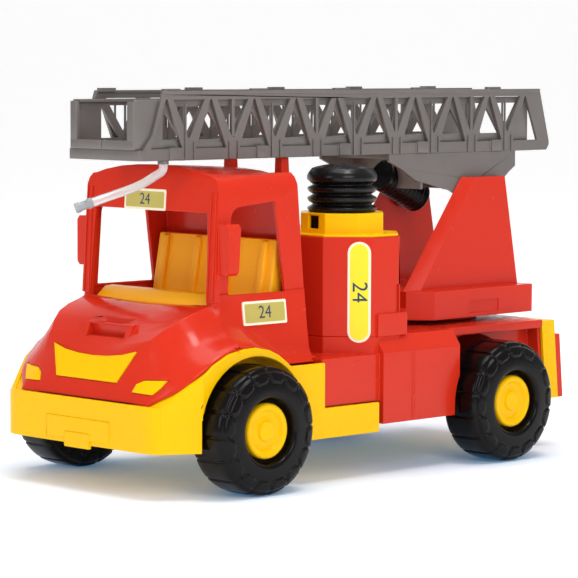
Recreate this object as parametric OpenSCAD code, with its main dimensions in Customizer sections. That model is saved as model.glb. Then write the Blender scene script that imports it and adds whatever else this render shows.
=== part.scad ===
// Toy fire engine: two axles, turning turret, extending truss ladder and a
// bellows pump on the water tank. Front towards -X, driver's side -Y, +Z up.
// Lengths along X are laid out from the front axle and centred at the end.

/* [Wheels and axles] */
// Distance between the two axles
wheelbase = 248; // [244:1:252]
// Outer diameter of a tyre over its lugs
tyre_d = 88; // [84:1:90]
// Width of a tyre
tyre_w = 32; // [28:1:34]
// Overall width over the tyres
track_w = 217.4; // [212:0.2:224]
// Number of tread lugs on a tyre
lug_count = 16; // [12:1:20]
// Width of the groove between two lugs
lug_gap = 2.6; // [2:0.2:4]
// Depth of the groove between two lugs
lug_depth = 2.6; // [1.5:0.1:3.5]
// Radius of a hub cap
hub_r = 18.6; // [17:0.2:20]
// Depth of the hub cap's face behind the tyre's side
hub_recess = 1.2; // [0.5:0.1:3]
// Diameter of an axle rod
axle_d = 6; // [5:0.5:8]
// Running clearance on radius in a turning joint
fit = 0.08; // [0.04:0.01:0.1]
// Gap between pieces that sit on each other without touching
seat_gap = 0.3; // [0.2:0.05:0.4]

/* [Chassis] */
// Length of the bumper ahead of the front axle
front_len = 75; // [73:1:77]
// Width over the front fenders
body_w = 188; // [184:1:192]
// Height of the bumper's lower edge
bumper_z = 31.5; // [29:0.5:34]
// Height of the bumper's top edge
bumper_top = 62.5; // [60:0.5:65]
// Height of the fender's crown
fender_top = 99; // [98:0.5:101]
// Gap between a tyre and its wheel arch
arch_gap = 5; // [4:0.5:6]
// Wall thickness of the moulded shells
wall = 3; // [2.4:0.2:3.6]

/* [Cab] */
// Half width of the cab at the window line
cab_half = 69.5; // [67:0.5:71]
// Position of the windscreen's foot behind the front axle
screen_x = -13; // [-15:0.5:-11]
// Position of the cab's back wall at the roof
cab_back = 66; // [62:1:68]
// Height of the window line
belt_z = 133; // [131:0.5:136]
// Height of the roof's crown
roof_z = 220.3; // [217:0.1:221]
// Length of the door mirrors
mirror_l = 14.4; // [12:0.2:16]

/* [Body and tank] */
// Height of the rear deck
deck_z = 98; // [96:0.5:99]
// Half width of the tank
tank_half = 88; // [84:1:90]
// Length of the tank
tank_len = 77; // [74:1:80]
// Height of the tank's top
tank_top = 168; // [164:1:172]
// Size of the tank's cut corners
tank_cut = 25; // [20:1:27]
// Height of the pump's collar
collar_h = 16; // [14:0.5:18]
// Half width of the octagonal collar
collar_r = 29.3; // [28:0.1:31]
// Sideways position of the pump
pump_y = -43.5; // [-46:0.5:-41]
// Outer radius of the bellows
bellows_r = 24.8; // [23:0.1:26]
// Height of the bellows' folded part
bellows_h = 21; // [19:0.5:22]
// Stroke of the pump
pump_stroke = 10; // [6:1:12]

/* [Turret] */
// Position of the turret's axis behind the rear axle
turret_dx = 14; // [12:1:16]
// Half width of the turret platform
platform_half = 60; // [56:1:62]
// Height of the platform's block
platform_h = 21; // [19:0.5:22]
// Height of the pivot above the deck
pivot_h = 97; // [95:0.5:99]
// Diameter of a ladder pivot stub
pivot_d = 9; // [8:0.5:10]
// Distance between the inside faces of the cheeks
cheek_gap = 74; // [73.4:0.2:75]
// Thickness of a cheek
cheek_t = 7; // [6:0.5:8]

/* [Ladder] */
// Outer width of the lower ladder
ladder_w = 72.6; // [72:0.1:73]
// Height of the lower ladder's walls
ladder_h = 47; // [46:0.5:48]
// Pitch of the lattice
pitch = 40.8; // [40:0.1:41.4]
// Number of lattice fields
fields = 10; // [10:1:10]
// Thickness of a ladder wall
ladder_t = 2.6; // [2.2:0.1:3]
// Sliding clearance of the upper ladder in the lower one
slide_gap = 0.5; // [0.3:0.1:0.6]
// Diameter of a rung
rung_d = 5; // [4:0.5:6]
// Diameter of the ribbed buffer under the ladder
buffer_d = 24; // [22:0.5:25]
// Length of the ribbed buffer
buffer_l = 44; // [40:1:46]
// Diameter of the water hose
hose_d = 6; // [5:0.5:7]

/* [Hidden] */

tyre_r = tyre_d / 2;
rear_x = wheelbase;                       // rear axle
tyre_face = track_w / 2;                  // outer side of the tyres
bh = body_w / 2;
arch_r = tyre_r + arch_gap;
hub_boss = axle_d / 2 + 3;
arch_x = 2;                               // the arch sits a little behind the axle
well_top = tyre_r + arch_r + wall;        // crown of a wheel well
step_top = 84;
strip_top = 52.5;
panel_top = 86;                           // panel between the cab and the lockers
strip_end = 122;
box_x0 = rear_x - 122;                    // rear side box
box_x1 = rear_x - 42;
tail_x = rear_x + 65;                     // front face of the tailboard at its top
tail_t = 14.3;
tail_wall = bumper_z + 30;                // top of the chassis' rear wall
panel_t = 6.5;
function lean(z) = tail_x + (deck_z - 1 - z) * 0.092;   // the tail leans forward
tail_half = 79;
well_y = tyre_face - tyre_w - 10;         // inner walls of the rear wheel wells
turret_x = rear_x + turret_dx;
tank_x = turret_x - 127.5;                // tank centre
tank_x0 = tank_x - tank_len / 2;
tank_x1 = tank_x + tank_len / 2;
disc_h = 4;
disc_r = 44;
spigot_r = 9;                             // snap spigot under the disc
platform_z = deck_z + disc_h;
cheek_z = platform_z + platform_h;
pivot_x = turret_x + 21;
pivot_z = deck_z + pivot_h;
cheek_top = pivot_z + 10;
lad_z = pivot_z + 28.6;                   // underside of the lower ladder
lad_x0 = turret_x - 309;                  // front of the lower ladder
lad_x1 = lad_x0 + (fields + 0.19) * pitch;
wall_y = ladder_w / 2;
top_y = wall_y - ladder_t - slide_gap;    // outer face of the upper ladder
top_z = lad_z + 7.6;
top_x0 = lad_x0 - 5;
chord = 5.6;
base_chord = 8;
collar_top = tank_top + collar_h;
bellows_z = collar_top + seat_gap;
cap_z = bellows_z + bellows_h + seat_gap;
port_h = 2.4;                             // collar where the hose leaves the ladder
hook_l = 1.5;                             // towing block ahead of the bumper
mid_x = (lad_x1 - front_len - hook_l) / 2;     // middle of the whole length

red = "#dd3a26";
yellow = "#fcc315";
grey = "#7d7875";
black = "#222225";

function arc(cx, cz, r, a0, a1, n) =
    [for (i = [0 : n]) [cx + r * cos(a0 + (a1 - a0) * i / n), cz + r * sin(a0 + (a1 - a0) * i / n)]];
// closed loop from a half profile of [y, z] points, top middle first
function loop(x, half) = concat(
    [for (p = half) [x, -p[0], p[1]]],
    [for (i = [len(half) - 1 : -1 : 0]) if (half[i][0] > 0) [x, half[i][0], half[i][1]]]);

module place() translate([-mid_x, 0, 0]) children();
module pair() { children(); mirror([0, 1, 0]) children(); }
module prism(pts, y0, y1) translate([0, y1, 0]) rotate([90, 0, 0]) linear_extrude(y1 - y0) polygon(pts);
module along_x(pts, x0, x1) translate([x0, 0, 0]) rotate([90, 0, 90]) linear_extrude(x1 - x0) polygon(pts);
module box(x0, x1, y0, y1, z0, z1) translate([x0, y0, z0]) cube([x1 - x0, y1 - y0, z1 - z0]);
module rod(x, z, d, y0, y1) translate([x, y1, z]) rotate([90, 0, 0]) cylinder(d = d, h = y1 - y0, $fn = 48);
// closed skin through a row of rings, each end closed round its middle
function middle(ring) = [for (k = [0 : 2]) [for (p = ring) 1] * [for (p = ring) p[k]] / len(ring)];
module skin(rings) {
    m = len(rings);
    n = len(rings[0]);
    polyhedron(concat([for (r = rings) each r], [middle(rings[0]), middle(rings[m - 1])]), concat(
        [for (j = [0 : n - 1]) [m * n, j, (j + 1) % n]],
        [for (i = [0 : m - 2], j = [0 : n - 1]) let (k = (j + 1) % n)
            each [[i * n + j, (i + 1) * n + k, i * n + k], [i * n + j, (i + 1) * n + j, (i + 1) * n + k]]],
        [for (j = [0 : n - 1]) [m * n + 1, (m - 1) * n + (j + 1) % n, (m - 1) * n + j]]), convexity = 8);
}

// side view of the line where the red cab sits on the yellow chassis
seam = concat([[-front_len - 8, bumper_top], [-69, bumper_top + 0.5], [-64, 67], [-58, 72], [-52, 77],
    [-46, 81.5], [-36, 89.5], [-22, fender_top - 3]],
    [[-8, fender_top - 0.4], [3, fender_top], [15, fender_top - 2.4], [24, 92.6], [31, 87.8], [36, step_top]]);
// bumper and fender outline in plan, one side
plan = [[-front_len, 62], [-front_len + 0.4, 70], [-front_len + 1.8, 75.5], [-front_len + 5, 79], [-45, bh]];
module plan_shape(inset = 0, end = strip_end) {
    p = [for (q = plan) [q[0] + inset, q[1] - inset]];
    polygon(concat(p, [[end, bh - inset]], [[end, -bh + inset]],
        [for (i = [len(p) - 1 : -1 : 0]) [p[i][0], -p[i][1]]]));
}
// upright plate parallel to the leaning tail, from depth a to depth b behind its front face
module slab(a, b, z0, z1, y0, y1) prism([[lean(z0) + min(a, b), z0], [lean(z0) + max(a, b), z0],
    [lean(z1) + max(a, b), z1], [lean(z1) + min(a, b), z1]], y0, y1);
module arch_cut(x, r, y0, y1) prism(concat([[x + r, 0]], arc(x, tyre_r, r, 0, 180, 24), [[x - r, 0]]), y0, y1);

module chassis_frame() color(yellow) place() {
    difference() {
        union() {
            // bumper, fenders, steps and side strips
            difference() {
                intersection() {
                    translate([0, 0, bumper_z]) linear_extrude(80) plan_shape();
                    prism(concat([[-front_len - 8, 0]], seam, [[68.3, step_top], [68.3, strip_top],
                        [strip_end + 1, strip_top], [strip_end + 1, 0]]), -bh - 1, bh + 1);
                }
                translate([0, 0, bumper_z + wall]) linear_extrude(80) plan_shape(wall, strip_end + 1);
            }
            // wheel wells over the front tyres
            intersection() {
                pair() difference() {
                    arch_cut(arch_x, arch_r + wall, well_y - 4, bh - 0.2);
                    arch_cut(arch_x, arch_r, well_y - 4 + wall, bh + 1);
                }
                prism(concat([[-46, 0], [-46, 81]], [for (q = seam) if (q[0] > -46) [q[0], q[1] - 0.4]],
                    [[60, step_top - 0.4], [60, 0]]), -bh - 1, bh + 1);
                box(-46, 60, -bh, bh, bumper_z, 120);
            }
            // floor from the steps back to the tail
            box(strip_end - 4, lean(bumper_z) - 0.5, -48, 48, bumper_z, bumper_z + wall);
            for (y = [-48, 45]) box(strip_end - 4, tail_x, y, y + wall, bumper_z, bumper_z + 14);
            slab(0, -wall, bumper_z, tail_wall, -well_y + wall + seat_gap, well_y - wall - seat_gap);
            // axle bearings
            for (x = [0, rear_x]) {
                rod(x, tyre_r, axle_d + 10, -well_y + 4.5, well_y - 4.5);
                box(x - 8, x + 8, -44, 44, bumper_z, tyre_r);
            }
            // number plate pad and towing block
            box(-front_len - 0.8, -front_len + 1, -33, 33, bumper_z + 3, bumper_z + 18);
            box(-front_len - hook_l, -front_len + 1, -13, 13, bumper_z - 2.5, bumper_z + 8);
        }
        // tyres' openings, axle bores and the open bottom under the bumper
        pair() intersection() {
            arch_cut(arch_x, arch_r, well_y - 1, bh + 5);
            box(-46, 80, 0, 200, -1, 120);
        }
        for (x = [0, rear_x]) rod(x, tyre_r, axle_d + 2 * fit, -100, 100);
    }
}

module axle(x) color("#b9bcc0") place() rod(x, tyre_r, axle_d, -tyre_face + 14, tyre_face - 14);
module front_axle() axle(0);
module rear_axle() axle(rear_x);

// half section of a tyre: [radius, depth from the outer side]
module tyre(x, s) color(black) place() translate([x, s * tyre_face, tyre_r]) rotate([s * 90, 0, 0]) {
    difference() {
        rotate_extrude($fn = 64) polygon([[hub_boss + 0.1, 13], [hub_r - 2, 13], [hub_r + 0.6, 11], [hub_r + 0.6, 5],
            [hub_r + 4.6, 3.5], [hub_r + 6, 1.2], [tyre_r - 15, 0], [tyre_r - 9, 0.2], [tyre_r - 5, 0.6],
            [tyre_r - 2.6, 1.4], [tyre_r - 1, 2.8], [tyre_r, 5], [tyre_r, tyre_w - 5], [tyre_r - 1, tyre_w - 2.8],
            [tyre_r - 2.6, tyre_w - 1.4], [tyre_r - 5, tyre_w - 0.6], [tyre_r - 9, tyre_w - 0.2], [tyre_r - 18, tyre_w],
            [tyre_r - 21, tyre_w - 6], [tyre_r - 24, 20], [hub_boss + 0.1, 20]]);
        for (i = [0 : lug_count - 1]) rotate([0, 0, (i + 0.5) * 360 / lug_count]) {
            translate([tyre_r - lug_depth, -lug_gap / 2, -1]) cube([lug_depth + 2, lug_gap, tyre_w + 2]);
            // the lugs end in half rounds on the shoulders
            for (z = [-1, tyre_w - 2.4]) translate([0, 0, z]) linear_extrude(3.4)
                polygon([[tyre_r - 9.5, -0.5], [tyre_r - 5.5, -1.5], [tyre_r - 2.8, -2.9], [tyre_r - 1, -4.6], [tyre_r + 1, -7.6],
                    [tyre_r + 1, 7.6], [tyre_r - 1, 4.6], [tyre_r - 2.8, 2.9], [tyre_r - 5.5, 1.5], [tyre_r - 9.5, 0.5]]);
        }
    }
}
module tyre_front_left() tyre(0, -1);
module tyre_front_right() tyre(0, 1);
module tyre_rear_left() tyre(rear_x, -1);
module tyre_rear_right() tyre(rear_x, 1);

// pressed hub cap with a raised rim, an inner ring and a domed middle
module hub(x, s) color(yellow) place() translate([x, s * (tyre_face - hub_recess), tyre_r]) rotate([s * 90, 0, 0])
    difference() {
        rotate_extrude($fn = 64) polygon([[0, 0.6], [5, 0.8], [9, 1.6], [10.5, 2.2], [11.5, 1.6], [12.6, 1.6],
            [13.6, 2.2], [15, 0.4], [16.4, 0], [hub_r - 0.8, 0.4], [hub_r, 1.4], [hub_r, 9.4],
            [hub_r - 2.6, 11.6], [hub_boss, 11.6], [hub_boss, 20], [0, 20]]);
        translate([0, 0, 8]) cylinder(r = axle_d / 2 + fit, h = 20, $fn = 48);
    }
module hub_front_left() hub(0, -1);
module hub_front_right() hub(0, 1);
module hub_rear_left() hub(rear_x, -1);
module hub_rear_right() hub(rear_x, 1);

// half sections of the hood and the lower cab, shrunk by the wall for the inside; the third
// point of a row is the crease, and a spline runs from there over the flank to the fender
function spline(a, b, c, d, t) = 0.5 * (2 * b + (c - a) * t + (2 * a - 5 * b + 4 * c - d) * t * t + (3 * b - a - 3 * c + d) * t * t * t);
function fine(v) = let (m = len(v) - 1) [for (i = [0 : m - 1], t = [0, 0.5])
    spline(v[max(i - 1, 0)], v[i], v[i + 1], v[min(i + 2, m)], t)];
function rows(list) = [for (r = list) [r[0], concat([r[1][0], r[1][1]], fine([for (i = [2 : 5]) r[1][i]]), [r[1][5]])]];
hood = rows([
    [-70.5, [[0, 63.5], [20, 63.5], [35, 63.5], [50, 63.3], [62, 63.2], [66, 63]]],
    [-68, [[0, 74], [20, 74], [36.5, 74], [54, 70.8], [64, 68], [68, 66]]],
    [-64, [[0, 84.4], [20, 84.5], [40, 84.8], [57, 78], [69, 72.5], [73, 69]]],
    [-61.5, [[0, 90], [21, 90.3], [42.3, 91.3], [61, 82], [73, 75], [77, 71.5]]],
    [-58.7, [[0, 92.8], [22, 94.5], [46, 98.6], [64, 86.5], [77, 78], [80.5, 74]]],
    [-55.5, [[0, 97.5], [22, 99], [52, 104.6], [67.5, 90], [80, 80.5], [83.5, 76.5]]],
    [-48.5, [[0, 105], [24, 106], [57, 111], [72, 95], [84, 86], [88, 82]]],
    [-39.5, [[0, 113], [26, 114], [62, 116.8], [75, 101], [87, 92.5], [91.3, 88.5]]],
    [-30, [[0, 119], [28, 120], [63.5, 121], [75.5, 105], [87.5, 97.5], [92, 94.5]]],
    [-20, [[0, 123.2], [28, 124], [64, 124], [75, 107.5], [88, 100.5], [92, 98]]],
    [-10, [[0, 124.5], [28, 125.5], [66.5, 127], [74.5, 110.5], [88, 103], [92, 100]]]]);
lower = rows([
    [-14, [[0, 124], [40, 124.4], [65, 124.6], [73.5, 109.5], [87, 102], [92, 99.3]]],
    [-9, [[0, belt_z + 1], [40, belt_z + 1], [cab_half, belt_z + 1], [72, 112.5], [87, 103], [92, 99.8]]],
    [3, [[0, belt_z + 1], [40, belt_z + 1], [cab_half, belt_z + 1], [71.8, 112], [87, 102.7], [92, 99.8]]],
    [15, [[0, belt_z + 1], [40, belt_z + 1], [cab_half, belt_z + 1], [71.8, 108], [86, 99.5], [91, 97.4]]],
    [31, [[0, belt_z + 1], [40, belt_z + 1], [cab_half, belt_z + 1], [72.2, 102], [83, 91], [88, 88.5]]],
    [40, [[0, belt_z + 1], [40, belt_z + 1], [cab_half, belt_z + 1], [72.5, 96], [80, 87.5], [84, 85]]],
    [80, [[0, belt_z + 1], [40, belt_z + 1], [cab_half, belt_z + 1], [73, 92], [78, 87], [82, 85]]]]);
function shrink(list, t) = let (m = len(list) - 1) [for (i = [0 : m]) let (v = list[i][1]) loop(list[i][0] + (i < m ? t : 0),
    concat([for (q = v) [q[0] > t ? q[0] - t : 0, q[1] - t]], [[v[len(v) - 1][0] - t, 50]]))];
// cab above the window line: front and rear sections of the crowned roof
function roof(x, crown, side, t) = loop(x, [[0, crown - t], [17, crown - 0.4 - t], [34, crown - 1.7 - t],
    [50, crown - 4.4 - t], [cab_half - 6, side + 5 - t], [cab_half - 2.5 - t, side + 1.5 - t],
    [cab_half - 1 - t, side - 3 - t], [cab_half - t, belt_z - 5 - t]]);
cab_side = [[screen_x, belt_z - 6], [screen_x + 4.5, roof_z - 15], [screen_x + 8, roof_z + 5],
    [cab_back - 4, roof_z + 5], [cab_back, roof_z - 15], [cab_back + 6, belt_z - 6]];
cab_side_in = [[screen_x + wall, belt_z - 12], [screen_x + 4.5 + wall, roof_z - 15], [screen_x + 8 + wall, roof_z + 5],
    [cab_back - 4 - wall, roof_z + 5], [cab_back - wall, roof_z - 15], [cab_back + 6 - wall, belt_z - 12]];
module cab_upper(t) intersection() {
    skin([roof(screen_x - 5, roof_z, 207, t), roof(30, roof_z - 2, 208.5, t), roof(cab_back + 12, roof_z - 4.5, 210, t)]);
    prism(t > 0 ? cab_side_in : cab_side, -80, 80);
}
// door window: slanted posts and a rounded upper front corner
window = concat([[-0.5, belt_z]], [[2.6, 182]], arc(12, 183, 9.4, 175, 95, 6), [[44, 195.4], [53, belt_z]]);
nose_tilt = atan2(24, 9);
module on_nose(z0 = 0) translate([-68, 0, 74]) rotate([0, 90 - nose_tilt, 0]) rotate([90, 0, -90])
    translate([0, 0, z0]) children();
grille = [[-31.5, 1.2], [31.5, 1.2], [43.5, 24.5], [30, 21], [15, 19.2], [0, 18.6], [-15, 19.2], [-30, 21], [-43.5, 24.5]];

module cab_shell() color(red) place() difference() {
    union() {
        skin(shrink(hood, 0));
        intersection() {
            skin(shrink(lower, 0));
            prism([[-14, 50], [-14, 140], [cab_back + 5.6, 140], [cab_back + 9, 50]], -100, 100);
        }
        cab_upper(0);
        // door mirrors moulded on the front posts
        pair() translate([-9, 66, 0]) along_x([[0, 146.5], [11, 146.5], [13.3, 149], [13.3, 179], [11, 181.5], [0, 181.5]], 0, mirror_l);
        // air intake on the hood
        prism([[-53.4, 99], [-47, 112.3], [-39, 113], [-39, 99]], -24.4, 24.4);
    }
    // inside, with a solid foot under the intake
    difference() {
        skin(shrink(hood, wall));
        along_x([[-24, 95], [24, 95], [29, 112], [29, 130], [-29, 130], [-29, 112]], -58, -30);
    }
    intersection() {
        skin(shrink(lower, wall));
        prism([[-16, 40], [-16, 140], [cab_back + 2.6, 140], [cab_back + 6, 40]], -100, 100);
    }
    cab_upper(wall);
    // windows
    prism(window, -100, 100);
    along_x([[-60.5, 126.3], [-30, 124.6], [0, 123.8], [30, 124.6], [60.5, 126.3], [58.3, 188.5], [-58.3, 188.5]],
        screen_x - 8, screen_x + 14);
    // mouth of the intake and the trough behind it
    prism([[-56, 103.2], [-56, 111], [-44.5, 111], [-43.5, 103.2]], -19.5, 19.5);
    intersection() {
        prism([[-44.5, 112.4], [-38, 110.8], [-34, 121.6], [-34, 130], [-46, 130]], -30, 30);
        along_x([[-7, 110.4], [7, 110.4], [24.8, 118.6], [24.8, 130], [-24.8, 130], [-24.8, 118.6]], -47, -30);
    }
    // seat on the chassis
    prism(concat([[-90, 0], [-90, bumper_top]], seam, [[68.6, step_top], [68.6, panel_top + seat_gap],
        [90, panel_top + seat_gap], [90, 0]]), -110, 110);
    // grille and headlight pockets
    on_nose(-1.6) linear_extrude(10) polygon(grille);
    pair() difference() {
        lamp_block(0.25);
        skin(shrink(hood, 2 + 0.25));
    }
}
module cab_seat() color("#f2a81d") place() {
    // bench with a leaning back, floor and dash in one moulding
    prism([[screen_x + 8, 106], [screen_x + 8, 127], [8, 125], [12, 108], [28, 106], [30, 114], [44, 117],
        [53, 168], [58, 168], [58, 103], [20, 100]], -61, 61);
    // floor resting on the crowns of the wheel wells
    box(-6, 17, -71, 71, well_top + seat_gap, 101);
}
module grille_insert() color(yellow) place()
    on_nose(-1.3) linear_extrude(2) offset(delta = -0.25) polygon(grille);
lamp = [[48.5, 70.6], [50.5, 76], [56, 78.6], [73.5, 79.6], [70.5, 74.4], [66.5, 70]];
module lamp_block(grow = 0) along_x([for (q = lamp) [q[0] + (q[0] < 60 ? -grow : grow), q[1] + (q[1] < 75 ? -grow : grow)]], -80, -48);
module lamp_solid() difference() {
    intersection() {
        lamp_block();
        skin(shrink(hood, -0.4));
    }
    skin(shrink(hood, 2));
}
module headlight_left() color("#ffc928") place() mirror([0, 1, 0]) lamp_solid();
module headlight_right() color("#ffc928") place() lamp_solid();

module tank_plan(cut = tank_cut, grow = 0) {
    x0 = tank_x0 - grow;
    x1 = tank_x1 + grow;
    h = tank_half + grow;
    polygon([[x0 + cut, -h], [x1 - cut, -h], [x1, -h + cut], [x1, h - cut],
        [x1 - cut, h], [x0 + cut, h], [x0, h - cut], [x0, -h + cut]]);
}
// outline of the side lockers across the body, one side
locker = [[well_y, bumper_z + 5], [bh, bumper_z + 5], [bh, 87], [bh - 7.5, deck_z], [well_y, deck_z]];
module rear_body() color(red) place() {
    difference() {
        union() {
            pair() along_x(locker, box_x0, box_x1);
            // panel between the cab and the lockers, under the tank
            box(69, box_x0 + 1, -bh + 4, bh - 4, strip_top + seat_gap, panel_top);
            translate([0, 0, 80]) linear_extrude(deck_z - 80) tank_plan();
            // deck with its rim
            box(tank_x, tail_x - seat_gap, -80, 80, deck_z - 6, deck_z);
            // inner walls of the wheel wells
            pair() prism([[box_x0, bumper_z + 5], [lean(bumper_z + 5) - seat_gap, bumper_z + 5],
                [lean(deck_z - 2) - seat_gap, deck_z - 2], [box_x0, deck_z - 2]], well_y - wall, well_y);
            slab(-seat_gap, -seat_gap - wall, tail_wall + seat_gap, deck_z - 2, -72, 72);
            pair() slab(-seat_gap, -seat_gap - wall, bumper_z + 7, deck_z - 2, well_y - 1, 76.7);
            // ridge and hinge line of the locker door
            pair() box(box_x0 + 29, box_x0 + 31.5, bh - 1, bh + 0.8, bumper_z + 7, 93 - 8);
        }
        // hollow from below
        pair() along_x([[well_y + wall, 0], [bh - wall, 0], [bh - wall, 86], [bh - 9, deck_z - wall],
            [well_y + wall, deck_z - wall]], box_x0 + wall, box_x1 - 1.6);
        box(69 + wall, box_x0 + 1 - wall, -bh + 4 + wall, bh - 4 - wall, 0, panel_top - wall);
        box(tank_x - 20, box_x0 + 8, -well_y + wall, well_y - wall, 0, deck_z - wall);
        box(box_x0 + 2, tail_x - wall - seat_gap - 0.1, -well_y + wall, well_y - wall, 0, deck_z - wall);
        pair() box(box_x1, tail_x - wall - 1, well_y, 77, 20, deck_z - wall);
        pair() arch_cut(rear_x, tyre_r + 3, well_y - wall - 1, 200);
        // turntable seat and pivot bore
        translate([turret_x, 0, deck_z - 10]) cylinder(r = spigot_r + fit, h = 20, $fn = 64);
    }
}

// hollow tank with ladder rests at its front and a step at its foot
module water_tank() color(red) place() difference() {
    union() {
        translate([0, 0, deck_z]) linear_extrude(tank_top - deck_z) tank_plan();
        translate([0, 0, deck_z]) linear_extrude(16) intersection() {
            tank_plan(tank_cut - 4, 2);
            translate([tank_x - 10, -200]) square([60, 400]);
        }
        // ladder rests
        for (s = [-1, 1]) hull() {
            box(tank_x0 - 10, tank_x0 + 1, s * 26.5 - 4.5, s * 26.5 + 4.5, tank_top - 12, tank_top - 10);
            box(tank_x0 - 8.5, tank_x0 - 1.5, s * 26.5 - 3.3, s * 26.5 + 3.3, lad_z - seat_gap - 1, lad_z - seat_gap);
        }
        pair() box(tank_x0 - 10, tank_x0 + 1, 20, 33, deck_z + 20, tank_top - 10);
    }
    translate([0, 0, deck_z + wall]) linear_extrude(100) offset(delta = -wall) tank_plan();
    // two grip slots near the foot of each side
    pair() for (x = [tank_x + 10, tank_x + 18]) box(x, x + 3.4, tank_half - 1.2, tank_half + 5, deck_z + 16, deck_z + 36);
}
// octagonal lid: flange over the tank, collar with the filler window in its front
module octagon(r) rotate([0, 0, 22.5]) circle(r = r / cos(22.5), $fn = 8);
module tank_collar() color(yellow) place() {
    translate([tank_x, pump_y, 0]) difference() {
        translate([0, 0, tank_top]) linear_extrude(collar_h) octagon(collar_r);
        translate([0, 0, tank_top - 1]) linear_extrude(collar_h - 1.6) octagon(collar_r - wall);
        translate([-collar_r - 5, -5.5, tank_top + 5]) cube([12, 10, 9.5]);
        translate([0, 0, collar_top - 5]) cylinder(d = 14, h = 10, $fn = 48);
    }
    translate([0, 0, tank_top]) difference() {
        intersection() {
            linear_extrude(1.6) offset(delta = -1.2) tank_plan();
            translate([tank_x0, -tank_half, 0]) cube([tank_len, 2 * tank_half, 3]);
        }
        translate([tank_x, pump_y, -1]) linear_extrude(5) octagon(collar_r - wall);
    }
}
// folded rubber bellows and its domed top
module pump_bellows() color(black) place() translate([tank_x, pump_y, bellows_z])
    rotate_extrude($fn = 48) let (n = 3, h = bellows_h / n) polygon(concat(
        [[bellows_r - 7, 0]],
        [for (i = [0 : n - 1]) each [[bellows_r - 1.2, i * h + 0.01], [bellows_r, i * h + 0.25 * h], [bellows_r, i * h + 0.45 * h],
            [bellows_r - 3.6, i * h + 0.72 * h], [bellows_r - 3.6, i * h + 0.8 * h]]],
        [[bellows_r - 1.4, bellows_h], [bellows_r - 7, bellows_h],
            [bellows_r - 7, bellows_h - 1.5], [bellows_r - 8.6, bellows_h - 3], [bellows_r - 8.6, 3], [bellows_r - 7, 1.5]]));
module pump_cap() color(black) place() translate([tank_x, pump_y, cap_z])
    rotate_extrude($fn = 64) polygon(concat([[0, 0], [bellows_r - 1.2, 0], [bellows_r + 0.2, 1.5], [bellows_r + 0.4, 4],
        [bellows_r - 0.6, 6.4]], [for (a = [50 : -10 : 0]) [(bellows_r - 3) * sin(a) / sin(50) * 0.99,
        9.6 + 9 * (cos(a) - cos(50))]]));

module tailboard() color(yellow) place() difference() {
    slab(0, tail_t, bumper_z + 6, deck_z - 1, -tail_half, tail_half);
    for (y = [-tail_half + 8, 6]) box(tail_x - 1, tail_x + tail_t - 4, y, y + tail_half - 14, bumper_z + 14, deck_z - 8);
}
module tail_panel() color(red) place() difference() {
    slab(tail_t, tail_t + panel_t, bumper_z + 6, deck_z - 12, -tail_half + 1, tail_half - 1);
    slab(tail_t + panel_t - 1.5, tail_t + panel_t + 1, bumper_z + 14, deck_z - 20, -tail_half + 9, tail_half - 9);
}

// rotating disc that carries the platform and snaps into the deck
module turntable_disc() color(red) place() translate([turret_x, 0, 0]) {
    translate([0, 0, deck_z + seat_gap]) cylinder(r = disc_r, h = disc_h - seat_gap, $fn = 96);
    translate([0, 0, deck_z - wall - 3]) cylinder(r = spigot_r, h = wall + 5, $fn = 64);
    translate([0, 0, deck_z - wall - seat_gap - 3]) cylinder(r = spigot_r + 4, h = 3, $fn = 64);
}
module turret_body() color(red) place() translate([turret_x, 0, 0]) {
    difference() {
        union() {
            translate([0, 0, platform_z]) linear_extrude(platform_h) polygon([[-62, -platform_half + 15], [-47, -platform_half],
                [66, -platform_half + 4], [66, platform_half - 4], [-47, platform_half], [-62, platform_half - 15]]);
            pair() hull() {
                prism([[-56.4, cheek_z], [5, cheek_top], [47, cheek_top], [62.6, cheek_z]], cheek_gap / 2, cheek_gap / 2 + 0.01);
                prism([[-45, cheek_z], [12.5, cheek_top], [47, cheek_top], [62.6, cheek_z]],
                    cheek_gap / 2 + cheek_t - 0.01, cheek_gap / 2 + cheek_t);
            }
        }
        translate([0, 0, platform_z - 1]) linear_extrude(platform_h - wall + 1) difference() {
            polygon([[-59, -platform_half + 17], [-46, -platform_half + wall], [63, -platform_half + 4 + wall],
                [63, platform_half - 4 - wall], [-46, platform_half - wall], [-59, platform_half - 17]]);
            difference() {
                circle(r = disc_r - 1, $fn = 96);
                circle(r = disc_r - 1 - wall, $fn = 96);
            }
        }
        rod(pivot_x - turret_x, pivot_z, pivot_d + 2 * fit, -cheek_gap / 2 - cheek_t + 1.5, cheek_gap / 2 + cheek_t - 1.5);
        // finger grip in each side of the platform
        pair() box(-8, 26, platform_half - 3.4, platform_half + 2, platform_z + 3, platform_z + 12);
    }
}

// side wall of a ladder in side view: chords with triangular openings
module lattice(x0, n, z0, h, low, high, leg = 8.4, post = 2.6) difference() {
    children();
    for (i = [0 : n - 1]) let (xa = x0 + i * pitch, zb = z0 + low, zt = z0 + h - high) {
        // opening under an apex
        polygon([[xa - pitch / 2 + leg * 0.75, zb], [xa + pitch / 2 - leg * 0.75, zb], [xa + 0.6, zt], [xa - 0.6, zt]]);
        // opening between two apexes
        if (i < n - 1) let (xm = xa + pitch / 2) if (i % 2 == 0)
            polygon([[xa + leg * 0.7, zt], [xa + pitch - leg * 0.7, zt], [xm + 0.6, zb + 7], [xm - 0.6, zb + 7]]);
        else {
            polygon([[xa + leg * 0.7, zt], [xm - post / 2, zt], [xm - post / 2, zb + 8]]);
            polygon([[xa + pitch - leg * 0.7, zt], [xm + post / 2, zt], [xm + post / 2, zb + 8]]);
        }
    }
}
apex0 = lad_x0 + 20.6;
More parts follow.
